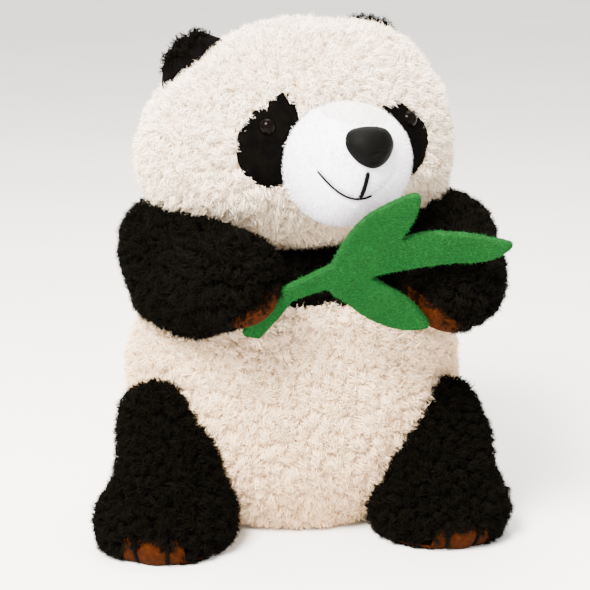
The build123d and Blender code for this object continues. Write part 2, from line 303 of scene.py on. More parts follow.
# ---------------------------------------------------------------- shapes
def turned(points, angle=HEAD_TURN):
    """Points of the forward-facing head, turned with it."""
    points = np.asarray(points, float)
    c, s = math.cos(angle), math.sin(angle)
    return np.stack([points[..., 0] * c - points[..., 1] * s, points[..., 0] * s + points[..., 1] * c,
                     points[..., 2]], -1)


def unit(v):
    return v / np.maximum(np.linalg.norm(v, axis=-1, keepdims=True), 1e-12)


def sphere_points(level):
    ball = bmesh.new()
    bmesh.ops.create_icosphere(ball, subdivisions=level, radius=1.0)
    points = np.array([v.co for v in ball.verts])
    faces = [[v.index for v in f.verts] for f in ball.faces]
    ball.free()
    return points, faces


SPHERE = sphere_points(5)


def egg_shape(centre, sizes, grow=0.0):
    """Points and faces of an egg form."""
    wide, deep, rise, drop = (s + grow for s in sizes)
    p = SPHERE[0]
    high = np.where(p[:, 2] > 0, rise, drop)
    return np.stack([p[:, 0] * wide, p[:, 1] * deep, p[:, 2] * high], 1) + centre, SPHERE[1]


def roll_shape(start, end, r_start, r_end):
    """Points and faces of a round-ended tapering roll."""
    start, end = np.array(start, float), np.array(end, float)
    way = unit(end - start)
    p = SPHERE[0]
    far = p @ way > (r_start - r_end) / np.linalg.norm(end - start)
    return np.where(far[:, None], end + p * r_end, start + p * r_start), SPHERE[1]


def new_object(name, points, faces):
    """Mesh object from points in millimetres."""
    mesh = bpy.data.meshes.new(name)
    mesh.from_pydata([tuple(p) for p in np.asarray(points) * MM], [], faces)
    mesh.update()
    obj = bpy.data.objects.new(name, mesh)
    bpy.context.scene.collection.objects.link(obj)
    return obj


def apply_modifiers(obj):
    graph = bpy.context.evaluated_depsgraph_get()
    mesh = bpy.data.meshes.new_from_object(obj.evaluated_get(graph), depsgraph=graph)
    obj.modifiers.clear()
    obj.data = mesh
    return obj


def coordinates(mesh):
    co = np.zeros(len(mesh.vertices) * 3, np.float32)
    mesh.vertices.foreach_get("co", co)
    return co.reshape(-1, 3).astype(float) / MM


def set_coordinates(mesh, points):
    """Move a mesh's points, given in millimetres and kept above the floor."""
    above = np.array(points)
    above[:, 2] = np.maximum(above[:, 2], FLOOR)
    mesh.vertices.foreach_set("co", (above * MM).astype(np.float32).ravel())
    mesh.update()


def normals(mesh):
    no = np.zeros(len(mesh.vertices) * 3, np.float32)
    mesh.vertices.foreach_get("normal", no)
    return no.reshape(-1, 3).astype(float)


def form(name, *shapes, voxel=4.5):
    """One closed even mesh around one or more overlapping shapes."""
    points, faces = [], []
    for shape_points, shape_faces in shapes:
        base = sum(len(p) for p in points)
        points.append(shape_points)
        faces += [[i + base for i in face] for face in shape_faces]
    obj = new_object(name, np.concatenate(points), faces)
    remesh = obj.modifiers.new("even", "REMESH")
    remesh.mode = "VOXEL"
    remesh.voxel_size = voxel * MM
    return apply_modifiers(obj)


def inflate(obj, held, cap, pressure=4.0):
    """Swell a closed skin between its sewn lines by cloth simulation; no point moves more than cap."""
    before = coordinates(obj.data)
    group = obj.vertex_groups.new(name="sewn")
    group.add([int(i) for i in np.nonzero(held)[0]], 1.0, "REPLACE")
    cloth = obj.modifiers.new("cloth", "CLOTH")
    cloth.settings.use_pressure = True
    cloth.settings.uniform_pressure_force = pressure
    cloth.settings.effector_weights.gravity = 0.0
    cloth.settings.vertex_group_mass = "sewn"
    cloth.collision_settings.use_collision = False
    cloth.point_cache.frame_start = 1
    cloth.point_cache.frame_end = CLOTH_FRAMES
    for step in range(1, CLOTH_FRAMES + 1):
        bpy.context.scene.frame_set(step)
    graph = bpy.context.evaluated_depsgraph_get()
    after = coordinates(obj.evaluated_get(graph).data)
    move = after - before
    far = np.linalg.norm(move, axis=1, keepdims=True)
    obj.modifiers.clear()
    obj.vertex_groups.clear()
    set_coordinates(obj.data, before + move * np.minimum(1.0, cap / np.maximum(far, 1e-9)))
    bpy.context.scene.frame_set(1)
    return obj


def subdivide(obj, levels):
    mod = obj.modifiers.new("smooth", "SUBSURF")
    mod.levels = mod.render_levels = levels
    apply_modifiers(obj)
    obj.data.shade_smooth()
    return obj


def random_on(mesh, per_mm2):
    """Evenly random points on a mesh, with their normals."""
    mesh.calc_loop_triangles()
    tri = np.zeros(len(mesh.loop_triangles) * 3, np.int32)
    mesh.loop_triangles.foreach_get("vertices", tri)
    tri = tri.reshape(-1, 3)
    co, no = coordinates(mesh), normals(mesh)
    a, b, c = co[tri[:, 0]], co[tri[:, 1]], co[tri[:, 2]]
    area = np.linalg.norm(np.cross(b - a, c - a), axis=1) / 2
    count = int(area.sum() * per_mm2)
    pick = rng.choice(len(tri), count, p=area / area.sum())
    u, v = rng.random(count), rng.random(count)
    over = u + v > 1
    u[over], v[over] = 1 - u[over], 1 - v[over]
    w = 1 - u - v
    t = tri[pick]
    points = co[t[:, 0]] * w[:, None] + co[t[:, 1]] * u[:, None] + co[t[:, 2]] * v[:, None]
    way = unit(no[t[:, 0]] * w[:, None] + no[t[:, 1]] * u[:, None] + no[t[:, 2]] * v[:, None])
    return points, way


def nearest(tree_points, points):
    tree = KDTree(len(tree_points))
    for i, p in enumerate(tree_points):
        tree.insert(p, i)
    tree.balance()
    found = [tree.find(p) for p in points]
    return np.array([f[1] for f in found]), np.array([f[2] for f in found])


def curl_centres(mesh):
    """One curl centre for about every LUMP of surface, irregularly placed."""
    points, ways = random_on(mesh, 0.6)
    cells = np.floor((points + rng.random(3) * LUMP) / LUMP).astype(int)
    _, first = np.unique(cells, axis=0, return_index=True)
    return points[first], ways[first]


def inside_roll(points, start, end, r_start, r_end, spare=0.0):
    start, end = np.array(start, float), np.array(end, float)
    span = end - start
    t = np.clip(((points - start) @ span) / (span @ span), 0, 1)
    gap = np.linalg.norm(points - (start + t[:, None] * span), axis=1)
    return gap < r_start + (r_end - r_start) * t - spare


def inside_egg(points, centre, sizes, spare=0.0):
    wide, deep, rise, drop = (s - spare for s in sizes)
    p = points - np.array(centre, float)
    high = np.where(p[:, 2] > 0, rise, drop)
    return (p[:, 0] / wide) ** 2 + (p[:, 1] / deep) ** 2 + (p[:, 2] / high) ** 2 < 1


def strand_mesh(name, centre_lines, radius, across, tone, material):
    """Flat tapering fibres, one for each four-point centre line."""
    count = len(centre_lines)
    half = across * radius[:, None]
    rings = []
    for step, scale in ((0, 0.9), (1, 1.0), (2, 0.8)):
        rings += [centre_lines[:, step] - half * scale, centre_lines[:, step] + half * scale]
    rings.append(centre_lines[:, 3])
    points = np.stack(rings, 1).reshape(-1, 3)
    per = len(rings)
    loops = np.array([0, 1, 3, 2, 2, 3, 5, 4, 4, 5, 6])
    starts = np.array([0, 4, 8])
    every = (np.arange(count)[:, None] * per + loops[None, :]).ravel()
    begin = (np.arange(count)[:, None] * len(loops) + starts[None, :]).ravel()
    mesh = bpy.data.meshes.new(name)
    mesh.vertices.add(count * per)
    mesh.loops.add(len(every))
    mesh.polygons.add(len(begin))
    mesh.vertices.foreach_set("co", (points * MM).astype(np.float32).ravel())
    mesh.loops.foreach_set("vertex_index", every.astype(np.int32))
    mesh.polygons.foreach_set("loop_start", begin.astype(np.int32))
    mesh.update(calc_edges=True)
    along = np.tile([0.0, 0.0, 0.4, 0.4, 0.75, 0.75, 1.0], count)
    for key, values in (("along", along), ("tone", np.repeat(tone, per))):
        mesh.attributes.new(key, "FLOAT", "POINT").data.foreach_set("value", values.astype(np.float32))
    side = int(math.ceil(math.sqrt(count)))
    cell = np.stack([np.arange(count) % side, np.arange(count) // side], 1)
    corner_u = np.array([0.25, 0.75, 0.25, 0.75, 0.25, 0.75, 0.5])
    corner_v = np.array([0.2, 0.2, 0.45, 0.45, 0.65, 0.65, 0.85])
    uv = np.stack([(cell[:, 0:1] + corner_u[loops][None, :]) / side,
                   (cell[:, 1:2] + corner_v[loops][None, :]) / side], -1)
    mesh.uv_layers.new(name="OFBake").data.foreach_set("uv", uv.astype(np.float32).ravel())
    mesh.materials.append(material)
    mesh.shade_smooth()
    obj = bpy.data.objects.new(name, mesh)
    bpy.context.scene.collection.objects.link(obj)
    return obj


def grow_pile(name, roots, ways, curls, curl_ways, material, body, nodes, length=PILE_LONG):
    """Curly pile: fibres lean and wind towards the middle of the curl that they belong to."""
    which, _ = nearest(curls, roots)
    middle, up = curls[which], curl_ways[which]
    count = len(roots)
    lean = unit(rng.normal(size=(len(curls), 3)) + np.array([0, 0, -0.7]))[which]
    lean -= up * np.sum(lean * up, 1, keepdims=True)
    turn = np.where(rng.random(len(curls)) > 0.5, 1.0, -1.0)[which][:, None]
    inward = middle - roots
    wind = np.cross(up, inward) * turn * 0.5
    long = (length * rng.uniform(0.6, 1.1, count) * rng.uniform(0.85, 1.12, len(curls))[which])[:, None]
    jitter = rng.normal(size=(4, count, 3)) * 0.45
    p0 = roots - ways * 0.9
    p1 = roots + ways * long * 0.34 + wind * 0.5 - inward * 0.1 + lean * 0.3 + jitter[1]
    p2 = roots + (ways * 0.5 + up * 0.5) * long * 0.64 + inward * 0.25 + wind * 0.9
    p2 += lean * 0.9 + jitter[2] * 1.4
    p3 = roots + up * long * 0.84 + inward * 0.62 + wind * 0.3 + lean * 1.9 + jitter[3] * 2.2
    lines = np.stack([p0, p1, p2, p3], 1)
    lines[..., 2] = np.maximum(lines[..., 2], 0.4)
    across = unit(np.cross(unit(p3 - p0), ways + rng.normal(size=(count, 3)) * 0.7))
    radius = PILE_THICK * rng.uniform(0.7, 1.25, count)
    tone = np.clip(rng.normal(0.6, 0.2, count) + rng.normal(0, 0.12, len(curls))[which], 0, 1)
    lay_fibres(name, lines, radius, across, tone, material, body, nodes)


def lay_fibres(name, lines, radius, across, tone, material, body, nodes):
    """Fibres in pieces of a bounded size, from the bottom up."""
    batch = FACES_PER_PIECE // FACES_PER_FIBRE
    order = np.argsort(lines[:, 0, 2], kind="stable")
    for part in range(int(math.ceil(len(lines) / batch))):
        pick = order[part * batch:(part + 1) * batch]
        label = f"{name}_pile_{part + 1}"
        piece = strand_mesh(label, lines[pick], radius[pick], across[pick], tone[pick], material)
        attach(piece, body)
        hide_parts(*nodes)


def short_pile(name, mesh, keep_root, length, per_mm2, material, body, nodes):
    """Fine straight nap that stands on a smooth cloth."""
    roots, ways = random_on(mesh, per_mm2)
    good = keep_root(roots)
    roots, ways = roots[good], ways[good]
    count = len(roots)
    tip = ways * length * rng.uniform(0.6, 1.1, count)[:, None] + rng.normal(size=(count, 3)) * length * 0.3
    lines = np.stack([roots - ways * 0.2, roots + tip * 0.4, roots + tip * 0.75, roots + tip], 1)
    across = unit(np.cross(ways, rng.normal(size=(count, 3))))
    radius = np.full(count, 0.09)
    lay_fibres(name, lines, radius, across, rng.random(count), material, body, nodes)


def fullness(points, spots):
    """How far the (place, reach, push) spots swell the skin at each point."""
    return sum(push * np.exp(-np.sum((points - np.array(place)) ** 2, 1) / reach**2)
               for place, reach, push in spots)


def swell(obj, spots):
    """Fuller or slacker stuffing: push the skin along its normals round each spot."""
    co = coordinates(obj.data)
    set_coordinates(obj.data, co + normals(obj.data) * fullness(co, spots)[:, None])


def rumple(mesh, high=1.1, reach=8.0, per_mm2=0.006):
    """Broad uneven lumps, as loose filling leaves under a soft skin."""
    places, _ = random_on(mesh, per_mm2)
    pushes = rng.uniform(-high, high, len(places))
    co = coordinates(mesh)
    push = np.zeros(len(co))
    for place, amount in zip(places, pushes):
        push += amount * np.exp(-np.sum((co - place) ** 2, 1) / reach**2)
    set_coordinates(mesh, co + normals(mesh) * push[:, None])


def fleece(cushion, keep_root, areas, body, length=PILE_LONG, per_mm2=PILE_PER_MM2):
    """Lumpy skin and pile on a cushion. areas: name, chooser of points, material, nodes, slot."""
    mesh = cushion.data
    rumple(mesh)
    curls, curl_ways = curl_centres(mesh)
    co = coordinates(mesh)
    covered = keep_root(co)
    _, gap = nearest(curls, co)
    lump = LUMP_HIGH * np.exp(-((gap / (LUMP * 0.42)) ** 2)) - 0.4
    set_coordinates(mesh, co + normals(mesh) * np.where(covered, lump, 0.0)[:, None])
    roots, ways = random_on(mesh, per_mm2)
    good = keep_root(roots)
    roots, ways = roots[good], ways[good]
    for name, chooser, material, nodes, slot in areas:
        own = chooser(roots)
        if own.any():
            grow_pile(name, roots[own], ways[own], curls, curl_ways, material, body, nodes, length)


def paint(obj, *materials):
    obj.data.materials.clear()
    for material in materials:
        obj.data.materials.append(material)


def face_centres(mesh):
    centre = np.zeros(len(mesh.polygons) * 3, np.float32)
    mesh.polygons.foreach_get("center", centre)
    return centre.reshape(-1, 3).astype(float) / MM


def paint_where(obj, first, second, is_second):
    paint(obj, first, second)
    choice = is_second(face_centres(obj.data)).astype(np.int32)
    obj.data.polygons.foreach_set("material_index", choice)


def pad_mesh(name, outline, surface, crown, rings=14, edge=0.0, under=1.2):
    """Closed crowned pad inside an outline, laid on a surface.

    outline: points across the pad. surface(points) gives places and outward normals.
    """
    outline = np.asarray(outline, float)
    middle = outline.mean(0)
    count = len(outline)
    points, faces = [], []
    for ring in range(rings + 1):
        t = ring / rings
        place, way = surface(middle + (outline - middle) * t)
        rise = edge + crown * (1 - t ** 3.2)
        points.append(place + way * rise)
    place, way = surface(outline)
    points.append(place - way * under)
    flat = np.concatenate(points)
    for ring in range(rings + 1):
        for k in range(count):
            n = (k + 1) % count
            faces.append([ring * count + k, ring * count + n, (ring + 1) * count + n, (ring + 1) * count + k])
    faces.append([(rings + 1) * count + k for k in reversed(range(count))])
    obj = new_object(name, flat, faces)
    weld = obj.modifiers.new("weld", "WELD")
    weld.merge_threshold = 0.00002
    apply_modifiers(obj)
    work = bmesh.new()
    work.from_mesh(obj.data)
    bmesh.ops.recalc_face_normals(work, faces=work.faces[:])
    work.to_mesh(obj.data)
    work.free()
    obj.data.shade_smooth()
    return obj


def smooth_loop(points, count=72):
    """Closed smooth loop through the given points (Catmull-Rom)."""
    points = np.asarray(points, float)
    n = len(points)
    t = np.linspace(0, n, count, endpoint=False)
    i = np.floor(t).astype(int)
    f = (t - i)[:, None]
    a, b, c, d = (points[(i + k) % n] for k in (-1, 0, 1, 2))
    return 0.5 * (2 * b + (c - a) * f + (2 * a - 5 * b + 4 * c - d) * f**2 + (3 * b - a - 3 * c + d) * f**3)


def smooth_path(points, count):
    points = np.asarray(points, float)
    ends = np.concatenate([[2 * points[0] - points[1]], points, [2 * points[-1] - points[-2]]])
    t = np.linspace(0, len(points) - 1 - 1e-6, count)
    i = np.floor(t).astype(int)
    f = (t - i)[:, None]
    a, b, c, d = (ends[i + k] for k in range(4))
    return 0.5 * (2 * b + (c - a) * f + (2 * a - 5 * b + 4 * c - d) * f**2 + (3 * b - a - 3 * c + d) * f**3)


def twisted_thread(name, path, radius, plies=3, pitch=3.0, up=(0.0, 0.0, 1.0)):
    """Sewing yarn: plies wound round each other along a path."""
    steps = max(12, int(np.linalg.norm(np.diff(path, axis=0), axis=1).sum() / 0.3))
    line = smooth_path(path, steps)
    way = unit(np.gradient(line, axis=0))
    side = unit(np.cross(way, np.array(up)))
    other = np.cross(way, side)
    far = np.concatenate([[0], np.cumsum(np.linalg.norm(np.diff(line, axis=0), axis=1))])
    sides, points, faces = 8, [], []
    for ply in range(plies):
        spin = far / pitch * 2 * math.pi + ply * 2 * math.pi / plies
        core = line + (side * np.cos(spin)[:, None] + other * np.sin(spin)[:, None]) * radius * 0.5
        base = len(points) * steps * sides
        ring = []
        taper = np.clip(np.minimum(far, far[-1] - far) / (radius * 1.2), 0.25, 1.0)[:, None]
        for k in range(sides):
            a = k * 2 * math.pi / sides
            ring.append(core + (side * math.cos(a) + other * math.sin(a)) * radius * 0.62 * taper)
        points.append(np.stack(ring, 1).reshape(-1, 3))
        for s in range(steps - 1):
            for k in range(sides):
                n = (k + 1) % sides
                faces.append([base + s * sides + k, base + s * sides + n,
                              base + (s + 1) * sides + n, base + (s + 1) * sides + k])
        faces.append([base + k for k in reversed(range(sides))])
        faces.append([base + (steps - 1) * sides + k for k in range(sides)])
    obj = new_object(name, np.concatenate(points), faces)
    obj.data.shade_smooth()
    paint(obj, MAT["thread"])
    return obj


def egg_front(centre, sizes):
    """Surface function: front of an egg form above points (x, z)."""
    wide, deep, rise, drop = sizes

    def surface(xz):
        up = xz[:, 1] - centre[2]
        high = np.where(up > 0, rise, drop)
        x = xz[:, 0] - centre[0]
        depth = deep * np.sqrt(np.maximum(1 - (x / wide) ** 2 - (up / high) ** 2, 0.02))
        place = np.stack([xz[:, 0], centre[1] - depth, xz[:, 1]], 1)
        return place, unit(np.stack([x / wide**2, -depth / deep**2, up / high**2], 1))

    return surface


def on_turned_head(surface):
    def placed(points):
        place, way = surface(points)
        return turned(place), turned(way)

    return placed


def in_outline(points, outline):
    """Which (x, z) points lie inside a closed outline."""
    inside = np.zeros(len(points), bool)
    x, y = points[:, 0], points[:, 1]
    for (x1, y1), (x2, y2) in zip(outline, np.roll(outline, -1, axis=0)):
        cross = (y1 > y) != (y2 > y)
        where = (x2 - x1) * (y - y1) / (y2 - y1 + 1e-12) + x1
        inside ^= cross & (x < where)
    return inside


# ---------------------------------------------------------------- camera, light and floor
def stage():
    azimuth, elevation, distance = math.radians(-8), math.radians(13), 0.9
    look = Vector((0.0005, 0.0, 0.108))  # point in the middle of the frame
    back = Vector((math.sin(azimuth) * math.cos(elevation), -math.cos(azimuth) * math.cos(elevation),
                   math.sin(elevation)))
    camera = bpy.data.objects.new("camera", bpy.data.cameras.new("camera"))
    camera.location = look + back * distance
    camera.rotation_euler = back.to_track_quat("Z", "Y").to_euler()
    camera.data.sensor_width = 36
    camera.data.lens = 109.8
    bpy.context.scene.collection.objects.link(camera)
    bpy.context.scene.camera = camera

    half = 14.0
    mesh = bpy.data.meshes.new("floor")
    corners = [(-half, -half, 0), (half, -half, 0), (half, half, 0), (-half, half, 0)]
    mesh.from_pydata(corners, [], [[0, 1, 2, 3]])
    floor = bpy.data.objects.new("floor", mesh)
    bpy.context.scene.collection.objects.link(floor)
    n = Nodes("floor_pale")
    tones = [(0.3, srgb(238, 237, 235)), (0.7, srgb(244, 243, 241))]
    n.link(n.ramp(n.noise(3), tones), n.shader.inputs["Base Color"])
    mesh.materials.append(n.finish(0.8))

    world = bpy.data.worlds.new("studio")
    world.use_nodes = True
    sky = world.node_tree.nodes["Background"].inputs
    sky["Color"].default_value = (1.0, 0.975, 0.94, 1)
    sky["Strength"].default_value = 2.08
    bpy.context.scene.world = world
    for name, place, power, size in (
        ("key", (-0.5, -0.7, 1.1), 128, 0.5),
        ("fill", (0.95, -0.8, 0.45), 3, 0.8),
        ("top", (0.0, 0.3, 1.25), 30, 0.7),
    ):
        lamp = bpy.data.objects.new(name, bpy.data.lights.new(name, "AREA"))
        lamp.data.energy = power
        lamp.data.size = size
        lamp.data.color = (1.0, 0.955, 0.89)
        lamp.location = place
        lamp.rotation_euler = (Vector(place) - Vector((0, 0, 0.12))).to_track_quat("Z", "Y").to_euler()
        bpy.context.scene.collection.objects.link(lamp)


# ---------------------------------------------------------------- the panda
def everywhere(points):
    return np.ones(len(points), bool)


def hip_roll(side):
    foot_x, top_x = LEGS[side]
    return (foot_x, *SHIN[:2]), (top_x, *LEG_TOP[:2]), SHIN[2], LEG_TOP[2]


def make_torso():
    egg, faces = egg_shape(TORSO_AT, TORSO, -1.0)
    egg[:, 2] = np.clip(egg[:, 2], 0.6, TORSO_TOP)
    torso = form("torso_cushion", (egg, faces))
    co = coordinates(torso.data)
    sewn = (np.abs(co[:, 2] - YOKE_Z) < 3) | (np.abs(co[:, 1]) < 2.5)
    sewn |= (co[:, 2] < 6) | (co[:, 2] > TORSO_TOP - 4)
    inflate(torso, sewn, 2.5)
    subdivide(torso, 2)
    swell(torso, TORSO_FULL)

    def covered(points):
        hidden = points[:, 2] < 2.0
        for side in "rl":
            hidden |= inside_roll(points, *ARMS[side], spare=7)
            hidden |= inside_roll(points, *hip_roll(side), spare=7)
        return ~hidden

    black = lambda points: points[:, 2] > YOKE_Z - YOKE_HANG
    cream = lambda points: ~black(points)
    front = lambda points: points[:, 1] < 0
    areas = [
        ("body_front", lambda p: cream(p) & front(p), MAT["cream_pile"], ["body_front_panel"], "cream_sherpa"),
        ("body_back", lambda p: cream(p) & ~front(p), MAT["cream_pile"], ["body_back_panel"], "cream_sherpa"),
        ("yoke_front", lambda p: black(p) & front(p), MAT["black_pile"], ["yoke_front"], "black_sherpa"),
        ("yoke_back", lambda p: black(p) & ~front(p), MAT["black_pile"], ["yoke_back"], "black_sherpa"),
    ]
    fleece(torso, covered, areas, "torso")
    paint_where(torso, MAT["cream_back"], MAT["black_back"], black)
    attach(torso, "torso")
    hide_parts("base_panel", "body_front_panel", "body_back_panel", "yoke_front", "yoke_back",
                "body_stuffing")


def patch_outline(side, grow=0.0):
    loop = smooth_loop(PATCH[side])
    middle = loop.mean(0)
    loop = middle + (loop - middle) * (1 + grow / 18)
    return loop * ((-1, 1) if side == "r" else (1, 1))


def make_head():
    points, faces = egg_shape(HEAD_AT, HEAD, -1.0)
    head = form("head_cushion", (turned(points), faces))
    local = turned(coordinates(head.data), -HEAD_TURN)
    sewn = (np.abs(local[:, 1] - HEAD_SEAM) < 2.5) | (local[:, 2] < HEAD_AT[2] - 46)
    inflate(head, sewn, 2.5)
    subdivide(head, 2)
    swell(head, CHEEKS + CROWN)

    def covered(points):
        p = turned(points, -HEAD_TURN)
        bare = inside_egg(p, MUZZLE_AT, MUZZLE, spare=1.0) | (p[:, 2] < HEAD_AT[2] - 50.5)
        for side in "rl":
            bare |= in_outline(p[:, [0, 2]], patch_outline(side, 0.6)) & (p[:, 1] < 0)
        return ~bare

    seam = lambda points: turned(points, -HEAD_TURN)[:, 1] < HEAD_SEAM
    areas = [
        ("head_front", seam, MAT["cream_pile"], ["head_front_panel"], "cream_sherpa"),
        ("head_back", lambda p: ~seam(p), MAT["cream_pile"], ["head_back_panel"], "cream_sherpa"),
    ]
    fleece(head, covered, areas, "head")
    paint(head, MAT["cream_back"])
    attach(head, "head")
    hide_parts("head_front_panel", "head_back_panel", "head_stuffing")


def make_face():
    surface = on_turned_head(egg_front(HEAD_AT, HEAD))
    for side in "rl":
        patch = pad_mesh(f"eye_patch_cloth_{side}", patch_outline(side, 1.4), surface, 1.3, edge=0.8)
        paint(patch, MAT["black_velboa"])
        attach(patch, "head")
        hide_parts(f"eye_patch_{side}")
        paint(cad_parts[f"eye_{side}"], MAT["eye"])
        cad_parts[f"eye_{side}"].data.shade_smooth()
        paint(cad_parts[f"eye_washer_{side}"], MAT["washer"])

    points, faces = egg_shape(MUZZLE_AT, MUZZLE)
    muzzle = form("muzzle_cushion", (turned(points), faces), voxel=3.0)
    local = turned(coordinates(muzzle.data), -HEAD_TURN)
    inflate(muzzle, local[:, 1] > MUZZLE_AT[1] + 8, 1.0)
    subdivide(muzzle, 2)
    brow, chin = turned([(2, -70, 213), (-12, -74, 162)])
    swell(muzzle, [(brow, 24, -2.5), (chin, 16, 2.5)])
    co = coordinates(muzzle.data)
    local = turned(co, -HEAD_TURN)
    smile_z = SMILE_LOW + SMILE_CURVE * (local[:, 0] - SMILE_X) ** 2
    aside = CREASE_HALF - np.abs(local[:, 0] - SMILE_X)
    front = (local[:, 1] < MUZZLE_AT[1]) & (aside > 0)
    crease = np.exp(-(((local[:, 2] - smile_z) / 1.8) ** 2)) * front * np.clip(aside / 8, 0, 1)
    set_coordinates(muzzle.data, co - normals(muzzle.data) * (crease * CREASE_DEEP)[:, None])
    paint(muzzle, MAT["white_velboa"])
    short_pile("muzzle", muzzle.data, lambda p: turned(p, -HEAD_TURN)[:, 1] < -38, 1.1, 3.2, MAT["white_nap"],
               "head", ["muzzle_cover"])
    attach(muzzle, "head")
    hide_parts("muzzle_cover")

    on_muzzle = on_turned_head(egg_front(MUZZLE_AT, MUZZLE))
    half, tall = NOSE_HALF, NOSE_TALL
    shape = [(0, -tall), (half * 0.62, -tall * 0.66), (half, tall * 0.1), (half * 0.78, tall * 0.8), (0, tall),
             (-half * 0.78, tall * 0.8), (-half, tall * 0.1), (-half * 0.62, -tall * 0.66)]
    outline = smooth_loop(np.array(shape) + (0, NOSE_Z), 96)
    nose = pad_mesh("nose_pad", outline, on_muzzle, 5.0, rings=24, edge=0.6)
    co = coordinates(nose.data)
    local = turned(co, -HEAD_TURN)
    pinch = np.exp(-(((local[:, 2] - NOSE_Z + 1.5 - 0.16 * local[:, 0]) / 0.9) ** 2 + (local[:, 0] / 3.2) ** 2))
    set_coordinates(nose.data, co - normals(nose.data) * (pinch * 1.1)[:, None])
    paint(nose, MAT["flock"])
    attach(nose, "head")
    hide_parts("nose")
    paint(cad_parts["nose_washer"], MAT["washer"])

    def line(points, lift):
        place, way = on_muzzle(np.array(points, float))
        return place + way * lift

    down = line(BAR + [(SMILE_X, SMILE_LOW + 0.8)], 0.8)
    bar = twisted_thread("mouth_bar_yarn", down, 1.0, up=(0, -1, 0.2))
    across = np.linspace(SMILE_FROM, SMILE_TO, 10)
    route = line([(SMILE_X + x, SMILE_LOW + SMILE_CURVE * x * x) for x in across], 0.25)
    smile = twisted_thread("smile_yarn", route, 0.55, plies=2, pitch=2.0)
    for piece, node in ((bar, "mouth_bar_thread"), (smile, "smile_thread")):
        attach(piece, "head")
        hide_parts(node)


def make_ears():
    for side, flip in (("r", -1), ("l", 1)):
        at = (flip * EAR_AT[0], EAR_AT[1], EAR_AT[2]) + np.array(EAR_SIT[side])
        points, faces = egg_shape(at, EAR)
        ear = form(f"ear_cushion_{side}", (turned(points), faces), voxel=2.5)
        subdivide(ear, 1)

        def covered(points):
            return ~inside_egg(turned(points, -HEAD_TURN), HEAD_AT, HEAD, spare=-2.0)

        front = lambda points: turned(points, -HEAD_TURN)[:, 1] < EAR_AT[1]
        areas = [
            (f"ear_front_{side}", front, MAT["black_pile"], [f"ear_front_{side}"], "black_sherpa"),
            (f"ear_back_{side}", lambda p: ~front(p), MAT["black_pile"], [f"ear_back_{side}"], "black_sherpa"),
        ]
        fleece(ear, covered, areas, f"ear_{side}", length=3.6, per_mm2=1.4)
        paint(ear, MAT["black_back"])
        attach(ear, f"ear_{side}")
        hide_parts(f"ear_front_{side}", f"ear_back_{side}")


def make_arms():
    for side in "rl":
        start, end, r_start, r_end = ARMS[side]
        arm = form(f"arm_cushion_{side}", roll_shape(start, end, r_start - 0.5, r_end - 0.5))
        co = coordinates(arm.data)
        inflate(arm, co[:, 1] > start[1] + 12, 2.0)
        subdivide(arm, 2)
        swell(arm, ARM_FULL[side])
        way = unit(np.array(PAD_FACE[side]))
        paw = np.array(end, float)

        def covered(points):
            out = unit(points - paw)
            near = np.linalg.norm(points - paw, axis=1) < r_end + 6
            on_pad = near & (out @ way > math.cos(math.asin((PAD_R - PAD_HID) / (r_end + 1))))
            return ~(on_pad | inside_egg(points, TORSO_AT, TORSO, spare=8))

        areas = [(f"arm_{side}", everywhere, MAT["black_pile"], [f"arm_cover_{side}"], "black_sherpa")]
        fleece(arm, covered, areas, f"arm_{side}")
        paint(arm, MAT["black_back"])
        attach(arm, f"arm_{side}")
        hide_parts(f"arm_cover_{side}", f"arm_stuffing_{side}")

        u = unit(np.cross(way, (0, 0, 1)))
        v = np.cross(way, u)

        def on_paw(points):
            r = r_end + 0.8
            flat = points[:, 0:1] * u + points[:, 1:2] * v
            rise = np.sqrt(np.maximum(r * r - np.sum(points**2, 1), 1.0))[:, None]
            return paw + flat + way * rise, unit(flat + way * rise)

        a = np.linspace(0, 2 * math.pi, 72, endpoint=False)
        ring = np.stack([np.cos(a), np.sin(a)], 1) * (PAD_R + 0.8)
        pad = pad_mesh(f"palm_suede_{side}", ring, on_paw, 1.6, edge=0.6)
        paint(pad, MAT["suede"])
        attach(pad, f"arm_{side}")
        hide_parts(f"palm_pad_{side}")


